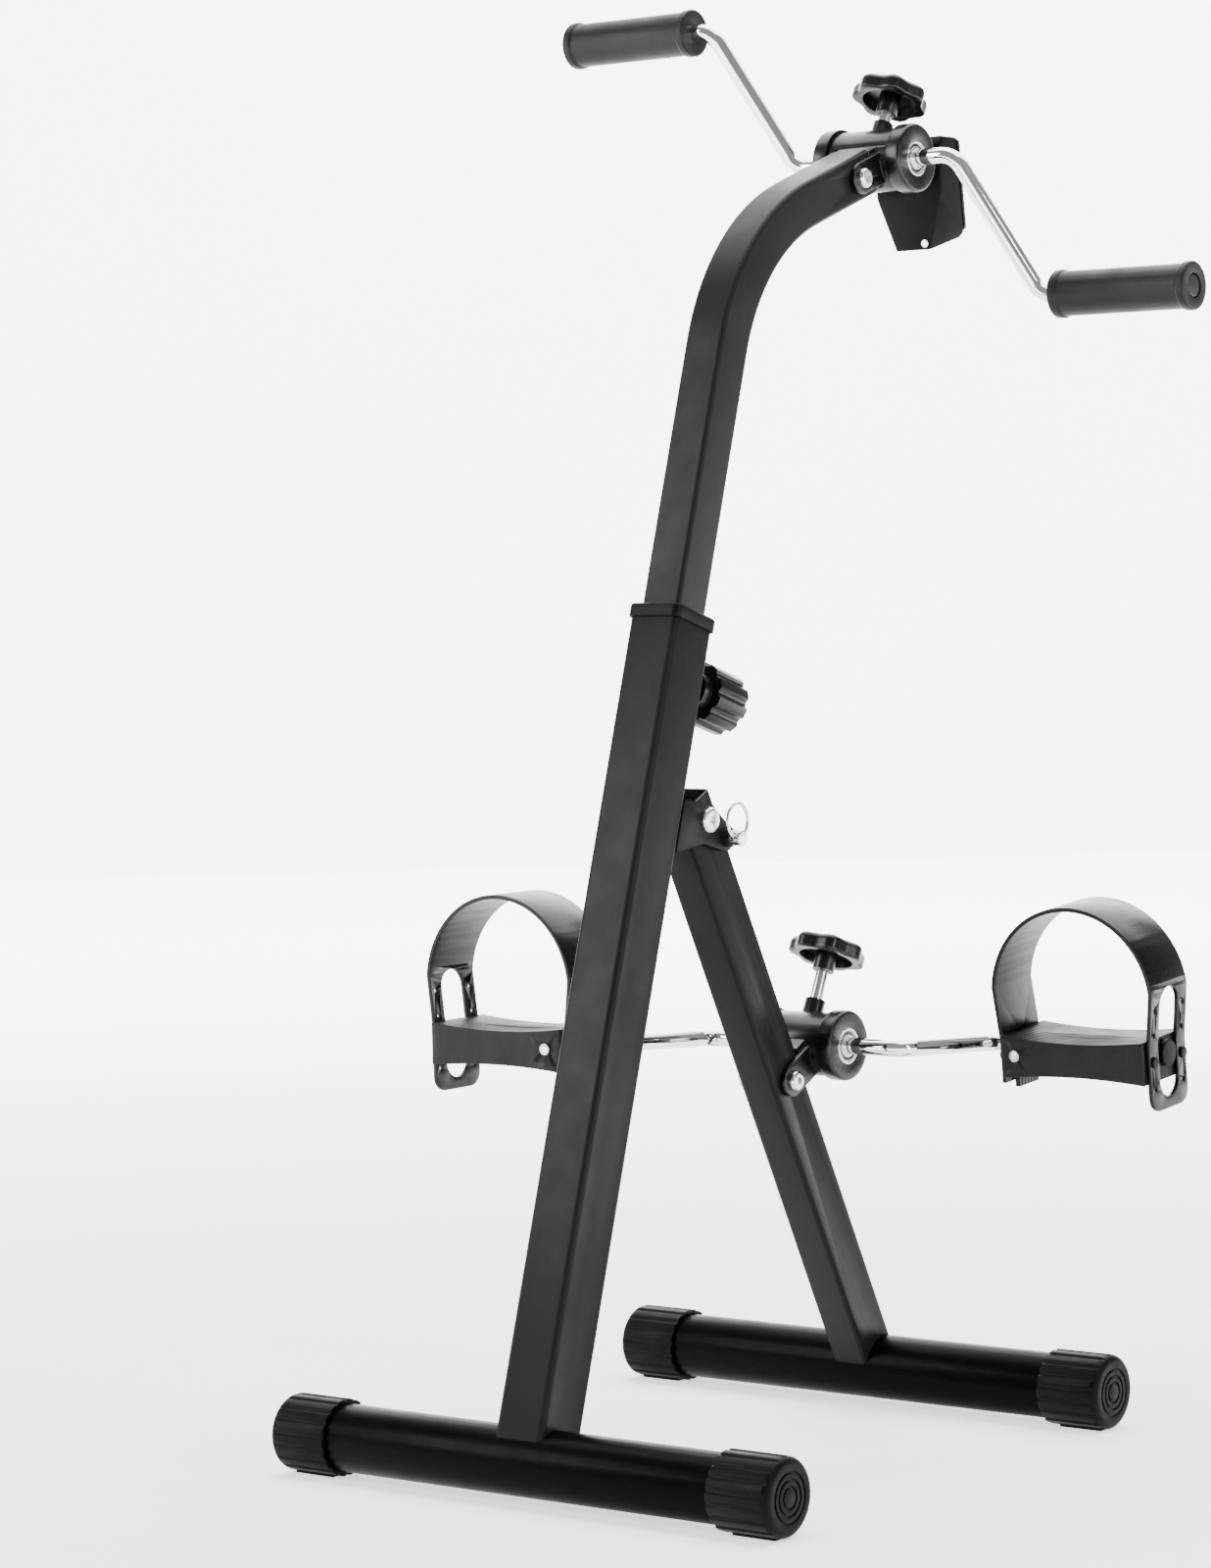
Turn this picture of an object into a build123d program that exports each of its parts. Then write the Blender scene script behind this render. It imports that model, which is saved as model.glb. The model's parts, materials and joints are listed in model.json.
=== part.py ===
"""Upright pedal exerciser: folding A-frame with a hand crank on top and a pedal crank below.

Units are millimetres and +Z is up.  X runs along the two foot bars, +Y points to the seated
user, the floor is z = 0, and the origin is the bottom centre of the whole machine.
"""
import os
from math import atan2, cos, degrees, hypot, radians, sin

from build123d import *

# ---------------------------------------------------------------- driving dimensions
FOOT_WIDTH = 350.0            # overall length of each foot bar, caps included
FRONT_BAR_Y = -206.57         # axis of the foot bar under the mast
BAR_SPACING = 333.4           # distance between the two foot-bar axes
FOOT_TUBE_R = 19.5
TUBE_WALL = 1.5
CAP_R = 22.2                  # plastic cap on each bar end
CAP_DROP = 22.7               # bar axis to floor
CAP_LENGTH = 40.0
CAP_END = 3.0                 # closed end of the cap
CAP_ROUND = 4.5               # rounding of the cap's outer end

MAST_LEAN = 17.69             # degrees from vertical
MAST_OFFSET_Y = 2.0           # mast axis behind the bar axis, at bar height
MAST_X, MAST_N = 33.3, 36.6   # outer tube section
MAST_TOP = 483.0              # distance along the mast
INNER_X, INNER_N = 26.6, 27.6  # telescopic tube section
INNER_BOTTOM = 300.0
BEND_START = 652.0
BEND_R = 135.0
BEND_TURN = 52.81             # degrees turned by the bend
BEND_TO_HUB = 89.9            # straight run from the bend to the crank axis
TUBE_END_GAP = 23.5           # tube end to crank axis

LEG_X, LEG_N = 24.8, 30.3     # rear leg section
PIVOT_Y, PIVOT_Z = -49.07, 370.0
LEG_ABOVE_PIVOT = 12.0

HUB_BOLT_REACH = 39.5         # crank axis to mounting bolt
PEDAL_HUB_DOWN = 179.5        # pivot to the lower hub's bolt, along the leg
HUB_R = 19.0
HUB_RING_R = 21.0
HUB_HALF = 32.0               # half length of a hub over its end caps
HUB_BORE_R = 14.5
ROD_R = 5.0
BEARING_R = 11.0
DRUM_R = 11.0
RUNNING = 0.06                # radial clearance of a turning fit

HAND_RADIUS = 90.8
HAND_ANGLE = -71.4            # direction of the right grip, degrees from +Y
GRIP_START, GRIP_END = 112.0, 206.0
GRIP_R, GRIP_RIM_R = 13.5, 14.6

PEDAL_RADIUS = 94.0
PEDAL_ANGLE = -3.5
RIGHT_PEDAL_TILT = 5.0        # degrees, rear edge up
DECK_START, DECK_END = 95.0, 193.0
DECK_HALF = 25.0
STRAP_THICK, STRAP_WIDE = 2.5, 42.0

KNOB_ANGLE = 64.0             # direction of both tension screws, degrees above +Y
TOP_KNOB_REACH = 45.5         # crank axis to the middle of the knob disc
LOW_KNOB_REACH = 59.5
SCREW_R = 3.95
THREAD_R = 4.05

LOCK_HEIGHT = 452.0           # mast lock screw, along the mast
BRACKET_BOTTOM, BRACKET_TOP = 353.0, 384.0
PIN_DOWN, PIN_BACK = 18.0, 10.6   # lock pin from the pivot, along and behind the leg

# ---------------------------------------------------------------- derived places
REAR_BAR_Y = FRONT_BAR_Y + BAR_SPACING
LEG_LEAN = degrees(atan2(REAR_BAR_Y - PIVOT_Y, PIVOT_Z - CAP_DROP))
LEG_LENGTH = hypot(REAR_BAR_Y - PIVOT_Y, PIVOT_Z - CAP_DROP)

MAST = Pos(0, FRONT_BAR_Y + MAST_OFFSET_Y, CAP_DROP) * Rot(-MAST_LEAN, 0, 0)
LEG = Pos(0, PIVOT_Y, PIVOT_Z) * Rot(LEG_LEAN, 0, 0)

END_ANGLE = 90 - MAST_LEAN - BEND_TURN      # slope of the tube's end above +Y
HUB_N = BEND_R * (1 - cos(radians(BEND_TURN))) + BEND_TO_HUB * sin(radians(BEND_TURN))
HUB_S = BEND_START + BEND_R * sin(radians(BEND_TURN)) + BEND_TO_HUB * cos(radians(BEND_TURN))
TOP_HUB = MAST * Pos(0, HUB_N, HUB_S) * Rot(MAST_LEAN, 0, 0)
LOW_HUB = LEG * Pos(0, HUB_BOLT_REACH, -PEDAL_HUB_DOWN) * Rot(-LEG_LEAN, 0, 0)
TOP_BOLT_ANGLE = 180 + END_ANGLE
LOW_BOLT_ANGLE = 180 + LEG_LEAN
LEG_SEAT = HUB_BOLT_REACH - LEG_N / 2


def mast_frame(y, z):
    """Return the mast-frame (y, z) of a point given in the world."""
    local = MAST.inverse() * Pos(0, y, z)
    return local.position.Y, local.position.Z


def save(name, shape):
    """Write one piece as its own STEP file."""
    shape.label = name
    export_step(shape, f"parts/{name}.step")


def both_sides(shape):
    """Return the piece together with its mirror image across the middle plane."""
    with BuildPart() as pair:
        add(shape)
        mirror(about=Plane.YZ)
    return pair.part


def turned_pair(shape):
    """Return the piece together with its copy on the crank's opposite arm."""
    with BuildPart() as pair:
        add(shape)
        add(Rot(180, 0, 0) * left_side(shape))
    return pair.part


def left_side(shape):
    """Return only the mirror image of a right-hand piece."""
    with BuildPart() as image:
        mirror(shape, about=Plane.YZ)
    return image.part


# ---------------------------------------------------------------- feet
def foot_tube():
    length = FOOT_WIDTH - 2 * CAP_END
    with BuildPart() as tube:
        with BuildSketch(Plane.YZ.offset(-length / 2)):
            Circle(FOOT_TUBE_R)
            Circle(FOOT_TUBE_R - TUBE_WALL, mode=Mode.SUBTRACT)
        extrude(amount=length)
    return tube.part


def foot_cap():
    """Right-hand cap, fluted all along, with its closed and rounded end at x = FOOT_WIDTH / 2."""
    end_x = FOOT_WIDTH / 2
    corner_x, corner_r = end_x - CAP_ROUND, CAP_R - CAP_ROUND
    with BuildPart() as cap:
        with BuildSketch():
            with BuildLine():
                Polyline((end_x, corner_r), (end_x, 0), (end_x - CAP_LENGTH, 0), (end_x - CAP_LENGTH, CAP_R),
                         (corner_x, CAP_R))
                RadiusArc((corner_x, CAP_R), (end_x, corner_r), CAP_ROUND)
            make_face()
        revolve(axis=Axis.X)
        with BuildSketch(Plane.YZ.offset(end_x - CAP_LENGTH - 1)):
            with PolarLocations(CAP_R + 1.2, 18, start_angle=10):
                Circle(2.2)
        extrude(amount=CAP_LENGTH + 2, mode=Mode.SUBTRACT)
        with Locations((end_x - CAP_LENGTH / 2, 0, -CAP_DROP + 3)):
            Box(CAP_LENGTH - 12, 12, 6)
        with BuildSketch(Plane.YZ.offset(end_x)):
            for ridge_r in (14.5, 10.6, 6.7):
                Circle(ridge_r)
                Circle(ridge_r - 1.5, mode=Mode.SUBTRACT)
        extrude(amount=-0.8, mode=Mode.SUBTRACT)
        with BuildSketch(Plane.YZ.offset(end_x - CAP_LENGTH)):
            Circle(FOOT_TUBE_R + 0.05)
        extrude(amount=CAP_LENGTH - CAP_END, mode=Mode.SUBTRACT)
    return cap.part


# ---------------------------------------------------------------- mast
def mast_tube():
    """Outer tube, coped over the front bar, with the lock screw's weld nut on its back."""
    bar_n, bar_s = mast_frame(FRONT_BAR_Y, CAP_DROP)
    with BuildPart() as tube:
        with BuildSketch():
            RectangleRounded(MAST_X, MAST_N, 3.5)
            RectangleRounded(MAST_X - 2 * TUBE_WALL, MAST_N - 2 * TUBE_WALL, 2, mode=Mode.SUBTRACT)
        extrude(amount=MAST_TOP)
        with BuildSketch(Plane.YZ.offset(-30)):
            with Locations((bar_n, bar_s)):
                Circle(FOOT_TUBE_R)
        extrude(amount=60, mode=Mode.SUBTRACT)
        with BuildSketch(Plane.XY.offset(0)):
            Rectangle(60, 60)
        extrude(amount=3, mode=Mode.SUBTRACT)
        with BuildSketch(Plane.XZ.offset(-MAST_N / 2 - 1)):
            with Locations((0, LOCK_HEIGHT)):
                Circle(THREAD_R)
        extrude(amount=4, mode=Mode.SUBTRACT)
        with BuildSketch(Plane.XZ.offset(-MAST_N / 2)):
            with Locations((0, LOCK_HEIGHT)):
                RegularPolygon(9, 6)
                Circle(THREAD_R, mode=Mode.SUBTRACT)
        extrude(amount=-7)
    return tube.part


def mast_collar():
    """Plastic sleeve in the mouth of the mast, with a skirt between the two tubes."""
    with BuildPart() as collar:
        with BuildSketch(Plane.XY.offset(MAST_TOP)):
            RectangleRounded(MAST_X + 3, MAST_N + 3, 4.5)
        extrude(amount=8)
        chamfer(collar.faces().sort_by(Axis.Z)[-1].edges(), 1)
        with BuildSketch(Plane.XY.offset(MAST_TOP - 24)):
            RectangleRounded(MAST_X - 2 * TUBE_WALL - 0.2, MAST_N - 2 * TUBE_WALL - 0.2, 1.8)
        extrude(amount=24)
        with BuildSketch(Plane.XY.offset(MAST_TOP - 24)):
            RectangleRounded(INNER_X + 0.12, INNER_N + 0.12, 2.5)
        extrude(amount=32, mode=Mode.SUBTRACT)
    return collar.part


def inner_tube():
    with BuildPart() as tube:
        with BuildLine(Plane.YZ) as path:
            lower = Line((0, INNER_BOTTOM), (0, BEND_START))
            bend = JernArc(start=lower @ 1, tangent=lower % 1, radius=BEND_R, arc_size=-BEND_TURN)
            reach = BEND_TO_HUB - TUBE_END_GAP
            slope = radians(BEND_TURN)
            tip = (bend @ 1).Y + reach * sin(slope), (bend @ 1).Z + reach * cos(slope)
            Line(((bend @ 1).Y, (bend @ 1).Z), tip)
        with BuildSketch(Plane.XY.offset(INNER_BOTTOM)):
            RectangleRounded(INNER_X, INNER_N, 2.6)
        sweep(path=path.wires()[0])
        with BuildSketch(Plane.XY.offset(INNER_BOTTOM)):
            RectangleRounded(INNER_X - 2 * TUBE_WALL, INNER_N - 2 * TUBE_WALL, 1.2)
        sweep(path=path.wires()[0], mode=Mode.SUBTRACT)
        bolt_n = HUB_N - HUB_BOLT_REACH * sin(slope)
        bolt_s = HUB_S - HUB_BOLT_REACH * cos(slope)
        with BuildSketch(Plane.YZ.offset(-20)):
            with Locations((bolt_n, bolt_s)):
                Circle(3.05)
        extrude(amount=40, mode=Mode.SUBTRACT)
    return tube.part


def tube_guide():
    """Plastic shoe round the lower end of the telescopic tube."""
    with BuildPart() as guide:
        with BuildSketch(Plane.XY.offset(INNER_BOTTOM - 3)):
            RectangleRounded(MAST_X - 2 * TUBE_WALL - 0.2, MAST_N - 2 * TUBE_WALL - 0.2, 1.8)
        extrude(amount=27)
        with BuildSketch(Plane.XY.offset(INNER_BOTTOM)):
            RectangleRounded(INNER_X + 0.04, INNER_N + 0.04, 2.5)
        extrude(amount=24, mode=Mode.SUBTRACT)
        with BuildSketch(Plane.XY.offset(INNER_BOTTOM - 3)):
            RectangleRounded(INNER_X - 6, INNER_N - 6, 2)
        extrude(amount=3, mode=Mode.SUBTRACT)
    return guide.part


# ---------------------------------------------------------------- mast lock
def lock_pad():
    with BuildPart() as pad:
        with BuildSketch(Plane.XZ.offset(-INNER_N / 2 - 0.9)):
            with Locations((0, LOCK_HEIGHT)):
                Circle(3.7)
        extrude(amount=-1.8)
    return pad.part


def lock_screw():
    with BuildPart() as screw:
        with BuildSketch(Plane.XZ.offset(-INNER_N / 2 - 3.0)):
            with Locations((0, LOCK_HEIGHT)):
                Circle(SCREW_R)
        extrude(amount=-28)
    return screw.part


def lock_knob():
    start = MAST_N / 2 + 8
    with BuildPart() as knob:
        with BuildSketch(Plane.XZ.offset(-start)):
            with Locations((0, LOCK_HEIGHT)):
                Circle(12)
        extrude(amount=-7)
        with BuildSketch(Plane.XZ.offset(-start - 7)):
            with Locations((0, LOCK_HEIGHT)):
                Circle(18.5)
                with PolarLocations(19.8, 10):
                    Circle(3.2, mode=Mode.SUBTRACT)
        extrude(amount=-29)
        chamfer(knob.faces().sort_by(Axis.Y)[-1].edges(), 1.5)
        with BuildSketch(Plane.XZ.offset(-start)):
            with Locations((0, LOCK_HEIGHT)):
                Circle(SCREW_R + 0.02)
        extrude(amount=-19, mode=Mode.SUBTRACT)
    return knob.part


# ---------------------------------------------------------------- crank hubs
def away(angle, distance):
    """Return the (y, z) point at this distance and angle above +Y."""
    return distance * cos(radians(angle)), distance * sin(radians(angle))


def hub_housing(bolt_angle, gap, seat, boss_top):
    """Plastic hub; two lugs straddle a tube and reach its bolt, and a block seats on it."""
    bolt = away(bolt_angle, HUB_BOLT_REACH)
    with BuildPart() as hub:
        with BuildSketch(Plane.YZ.offset(-22)):
            Circle(HUB_R)
        extrude(amount=44)
        for side in (-1, 1):
            with BuildSketch(Plane.YZ.offset(side * (gap / 2 + 0.25))):
                with Locations(Pos(*away(bolt_angle, HUB_BOLT_REACH / 2)) * Rot(0, 0, bolt_angle)):
                    Rectangle(HUB_BOLT_REACH, 19)
                with Locations(bolt):
                    Circle(9.5)
            extrude(amount=side * 3.4)
        with BuildSketch(Plane.YZ.offset(-gap / 2 - 0.25)):
            with Locations(Pos(*away(bolt_angle, seat / 2 + 6)) * Rot(0, 0, bolt_angle)):
                Rectangle(seat - 12.2, 25)
        extrude(amount=gap + 0.5)
        with BuildSketch(Plane(origin=(0, 0, 0), x_dir=(1, 0, 0), z_dir=(0, *away(KNOB_ANGLE, 1)))):
            Circle(6.2)
        extrude(amount=boss_top)
        with BuildSketch(Plane(origin=(0, 0, 0), x_dir=(1, 0, 0), z_dir=(0, *away(KNOB_ANGLE, 1)))):
            Circle(THREAD_R)
        extrude(amount=boss_top, mode=Mode.SUBTRACT)
        with BuildSketch(Plane.YZ.offset(-22)):
            Circle(HUB_BORE_R)
        extrude(amount=44, mode=Mode.SUBTRACT)
        with BuildSketch(Plane.YZ.offset(-30)):
            with Locations(bolt):
                Circle(3.05)
        extrude(amount=60, mode=Mode.SUBTRACT)
    return hub.part


def hub_end_cap():
    """Right-hand end ring with a seat for the bearing."""
    with BuildPart() as cap:
        with BuildSketch(Plane.YZ.offset(22)):
            Circle(HUB_RING_R)
        extrude(amount=HUB_HALF - 22)
        fillet(cap.faces().sort_by(Axis.X)[-1].edges(), 2)
        with BuildSketch(Plane.YZ.offset(18)):
            Circle(HUB_BORE_R - 0.05)
        extrude(amount=4)
        with BuildSketch(Plane.YZ.offset(18)):
            Circle(9)
        extrude(amount=7, mode=Mode.SUBTRACT)
        with BuildSketch(Plane.YZ.offset(25)):
            Circle(BEARING_R + 0.02)
        extrude(amount=7, mode=Mode.SUBTRACT)
    return cap.part


def bearing():
    with BuildPart() as ring:
        with BuildSketch(Plane.YZ.offset(25)):
            Circle(BEARING_R)
            Circle(ROD_R + RUNNING, mode=Mode.SUBTRACT)
        extrude(amount=6.6)
        with BuildSketch(Plane.YZ.offset(31.6)):
            Circle(9)
            Circle(6.8, mode=Mode.SUBTRACT)
        extrude(amount=-1, mode=Mode.SUBTRACT)
    return ring.part


def drum():
    """Steel sleeve that joins the two crank rods and takes the friction plug."""
    with BuildPart() as sleeve:
        with BuildSketch(Plane.YZ.offset(-17)):
            Circle(DRUM_R)
            Circle(ROD_R + 0.02, mode=Mode.SUBTRACT)
        extrude(amount=34)
    return sleeve.part


def crank_rod(radius, first_bend, second_bend, end, bend_r):
    """Right-hand rod: out of the hub, down a slanted arm, and out along the handle."""
    with BuildPart() as rod:
        with BuildLine() as path:
            FilletPolyline((0.5, 0), (first_bend, 0), (second_bend, radius), (end, radius), radius=bend_r)
        with BuildSketch(Plane.YZ.offset(0.5)):
            Circle(ROD_R)
        sweep(path=path.wires()[0])
        chamfer(rod.faces().sort_by(Axis.X)[-1].edges(), 0.8)
    return rod.part


def ring(x_start, length, outer, inner, offset):
    """Plain collar along X, centred this far out along +Y."""
    with BuildPart() as collar:
        with BuildSketch(Plane.YZ.offset(x_start)):
            with Locations((offset, 0)):
                Circle(outer)
                Circle(inner, mode=Mode.SUBTRACT)
        extrude(amount=length)
    return collar.part


def end_cap(x_start, length, outer, inner, depth, offset):
    """Push-on cap over a rod end."""
    with BuildPart() as cap:
        with BuildSketch(Plane.YZ.offset(x_start)):
            with Locations((offset, 0)):
                Circle(outer)
        extrude(amount=length)
        fillet(cap.faces().sort_by(Axis.X)[-1].edges(), 0.8)
        with BuildSketch(Plane.YZ.offset(x_start)):
            with Locations((offset, 0)):
                Circle(inner)
        extrude(amount=depth, mode=Mode.SUBTRACT)
    return cap.part


# ---------------------------------------------------------------- tension knobs
def friction_plug():
    with BuildPart() as plug:
        with BuildSketch(Plane.XY.offset(DRUM_R + 1.6)):
            Circle(THREAD_R - 0.3)
        extrude(amount=4)
    return plug.part


def tension_screw(reach):
    with BuildPart() as screw:
        with BuildSketch(Plane.XY.offset(DRUM_R + 5.9)):
            Circle(SCREW_R)
        extrude(amount=reach - DRUM_R - 5.9)
    return screw.part


def star_knob(reach):
    """Thin lobed hand knob, rounded over its top, with a hollow underside round a centre boss."""
    turns = [radians(step * 360 / 56) for step in range(56)]
    lobes = [(22.1 + 1.5 * cos(7 * turn), turn) for turn in turns]
    with BuildPart() as knob:
        with BuildSketch(Plane.XY.offset(reach - 5)):
            with BuildLine():
                Spline(*[(r * cos(a), r * sin(a)) for r, a in lobes], periodic=True)
            make_face()
        extrude(amount=10)
        fillet(knob.faces().sort_by(Axis.Z)[-1].edges(), 4)
        fillet(knob.faces().sort_by(Axis.Z)[0].edges(), 1.6)
        with BuildSketch(Plane.XY.offset(reach - 5)):
            Circle(16.5)
        extrude(amount=5.5, mode=Mode.SUBTRACT)
        with BuildSketch(Plane.XY.offset(reach - 13)):
            Circle(6.6)
        extrude(amount=15)
        with BuildSketch(Plane.XY.offset(reach - 13)):
            Circle(SCREW_R + 0.02)
        extrude(amount=13.3, mode=Mode.SUBTRACT)
    return knob.part


# ---------------------------------------------------------------- bolts across a tube
def cross_bolt(radius, head_r, head_x, tail_x):
    """Bolt along X with a domed head on the right."""
    with BuildPart() as bolt:
        with BuildSketch(Plane.YZ.offset(tail_x)):
            Circle(radius)
        extrude(amount=head_x - tail_x)
        with BuildSketch(Plane.YZ.offset(head_x)):
            Circle(head_r)
        extrude(amount=4)
        fillet(bolt.faces().sort_by(Axis.X)[-1].edges(), 2.2)
        with BuildSketch(Plane.YZ.offset(head_x + 4)):
            RegularPolygon(2.4, 6)
        extrude(amount=-2, mode=Mode.SUBTRACT)
    return bolt.part


def cross_nut(radius, across, x_start, length):
    with BuildPart() as nut:
        with BuildSketch(Plane.YZ.offset(x_start)):
            RegularPolygon(across, 6)
            Circle(radius + 0.02, mode=Mode.SUBTRACT)
        extrude(amount=-length)
    return nut.part


# ---------------------------------------------------------------- folding bracket and rear leg
PIVOT_N, PIVOT_S = mast_frame(PIVOT_Y, PIVOT_Z)
PIN_PLACE = (LEG * Pos(0, PIN_BACK, -PIN_DOWN)).position
PIN_N, PIN_S = mast_frame(PIN_PLACE.Y, PIN_PLACE.Z)
CHEEK_IN, CHEEK_OUT = 13.4, 16.4
BARREL = 4.0                  # short guide for the pin on the right cheek
RING_X = CHEEK_OUT + BARREL + 4.6


def leg_bracket():
    """Steel U welded to the back of the mast; its cheeks carry the pivot and the lock pin's barrel."""
    with BuildPart() as bracket:
        with BuildSketch(Plane.YZ.offset(-CHEEK_OUT)):
            with BuildLine():
                Polyline((MAST_N / 2, BRACKET_BOTTOM), (MAST_N / 2, BRACKET_TOP), (PIVOT_N, PIVOT_S + 10),
                         (PIN_N, PIN_S + 8), (PIN_N, PIN_S - 8), (PIVOT_N, PIVOT_S - 14), close=True)
            make_face()
            with Locations((PIVOT_N, PIVOT_S)):
                Circle(10)
            with Locations((PIN_N, PIN_S)):
                Circle(8)
        extrude(amount=2 * CHEEK_OUT)
        with BuildSketch(Plane.YZ.offset(-CHEEK_IN)):
            with Locations((MAST_N / 2 + 2.5 + 50, PIVOT_S)):
                Rectangle(100, 100)
        extrude(amount=2 * CHEEK_IN, mode=Mode.SUBTRACT)
        with BuildSketch(Plane.YZ.offset(CHEEK_OUT)):
            with Locations((PIN_N, PIN_S)):
                Circle(5.5)
        extrude(amount=BARREL)
        with BuildSketch(Plane.YZ.offset(-20)):
            with Locations((PIVOT_N, PIVOT_S)):
                Circle(4)
        extrude(amount=40, mode=Mode.SUBTRACT)
        with BuildSketch(Plane.YZ.offset(CHEEK_IN)):
            with Locations((PIN_N, PIN_S)):
                Circle(3)
        extrude(amount=12, mode=Mode.SUBTRACT)
    return bracket.part


def rear_leg():
    with BuildPart() as leg:
        with BuildSketch(Plane.XY.offset(LEG_ABOVE_PIVOT)):
            RectangleRounded(LEG_X, LEG_N, 3)
            RectangleRounded(LEG_X - 2 * TUBE_WALL, LEG_N - 2 * TUBE_WALL, 1.5, mode=Mode.SUBTRACT)
        extrude(amount=-(LEG_ABOVE_PIVOT + LEG_LENGTH - 4))
        with BuildSketch(Plane.YZ.offset(-30)):
            with Locations((0, -LEG_LENGTH)):
                Circle(FOOT_TUBE_R)
        extrude(amount=60, mode=Mode.SUBTRACT)
        with BuildSketch(Plane.YZ.offset(-30)):
            Circle(4.01)
            with Locations((0, -PEDAL_HUB_DOWN)):
                Circle(3.05)
        extrude(amount=60, mode=Mode.SUBTRACT)
    return leg.part


def leg_plug():
    """Insert pushed a little way down the open top of the leg."""
    with BuildPart() as plug:
        with BuildSketch(Plane.XY.offset(LEG_ABOVE_PIVOT - 5)):
            RectangleRounded(LEG_X - 2 * TUBE_WALL - 0.1, LEG_N - 2 * TUBE_WALL - 0.1, 1.4)
        extrude(amount=-2.5)
    return plug.part


def lock_pin():
    with BuildPart() as pin:
        with BuildSketch(Plane.YZ.offset(CHEEK_IN + 0.2)):
            Circle(2.95)
        extrude(amount=BARREL + 7)
        with BuildSketch(Plane.YZ.offset(CHEEK_OUT + BARREL + 0.6)):
            Circle(4.6)
        extrude(amount=8)
        fillet(pin.faces().sort_by(Axis.X)[-1].edges(), 1.2)
        with BuildSketch(Plane.XZ.offset(-10)):
            with Locations((RING_X, 0)):
                Circle(2.3)
        extrude(amount=20, mode=Mode.SUBTRACT)
    return pin.part


def pull_ring():
    with BuildPart() as wire:
        with Locations(Pos(RING_X, 0, 10) * Rot(0, 90, 0)):
            Torus(10, 1)
    return wire.part


# ---------------------------------------------------------------- hand grips
def hand_grip():
    """Turned grip with a rolled rim at each end; it spins on its rod."""
    outline = [(GRIP_START, ROD_R + RUNNING), (GRIP_START, GRIP_RIM_R), (GRIP_START + 5, GRIP_RIM_R),
               (GRIP_START + 6, GRIP_R), (GRIP_END - 6, GRIP_R), (GRIP_END - 5, GRIP_RIM_R),
               (GRIP_END, GRIP_RIM_R), (GRIP_END, 7.5), (GRIP_END - 3.4, 7.5),
               (GRIP_END - 3.4, ROD_R + RUNNING)]
    with BuildPart() as grip:
        with BuildSketch() as half:
            with BuildLine():
                Polyline(*[(x, HAND_RADIUS + r) for x, r in outline], close=True)
            make_face()
            rims = half.vertices().group_by(Axis.Y)[-1]
            fillet(rims, 1.4)
        revolve(axis=Axis((0, HAND_RADIUS, 0), (1, 0, 0)))
    return grip.part


# ---------------------------------------------------------------- pedals
def pedal_deck():
    """Foot platform, right side, about its spindle axis."""
    middle = (DECK_START + DECK_END) / 2
    with BuildPart() as deck:
        with BuildSketch(Plane.XZ.offset(-DECK_HALF)):
            with BuildLine():
                ThreePointArc((DECK_START, -16), (middle, -13.4), (DECK_END, -16))
                Line((DECK_END, -16), (DECK_END, 10))
                ThreePointArc((DECK_END, 10), (middle, 7), (DECK_START, 10))
                Line((DECK_START, 10), (DECK_START, -16))
            make_face()
        extrude(amount=2 * DECK_HALF)
        with BuildSketch(Plane.XZ.offset(-DECK_HALF + 2.5)):
            with BuildLine():
                Polyline((DECK_START + 3, 7.2), (DECK_START + 3, -17), (DECK_END - 3, -17), (DECK_END - 3, 7.2))
                ThreePointArc((DECK_END - 3, 7.2), (middle, 4.4), (DECK_START + 3, 7.2))
            make_face()
        extrude(amount=2 * DECK_HALF - 5, mode=Mode.SUBTRACT)
        with BuildSketch(Plane.YZ.offset(DECK_START + 1)):
            Circle(8.5)
        extrude(amount=DECK_END - DECK_START - 2)
        for x_place in (middle - 18, middle + 18):
            with Locations((x_place, 0, -3)):
                Box(2.4, 2 * DECK_HALF - 4, 17)
        with Locations((DECK_START + 1.5, 0, -19)):
            Box(3, 22, 10)
        with BuildSketch(Plane.XZ.offset(DECK_HALF)):
            with Locations((DECK_START + 10, -2)):
                Circle(1.6)
        extrude(amount=-2.6, mode=Mode.SUBTRACT)
        with BuildSketch(Plane.YZ.offset(DECK_START - 1)):
            Circle(ROD_R + RUNNING)
            with Locations((-16.5, -3), (16.5, -3)):
                Circle(1.6)
        extrude(amount=DECK_END - DECK_START + 2, mode=Mode.SUBTRACT)
    return deck.part


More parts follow.
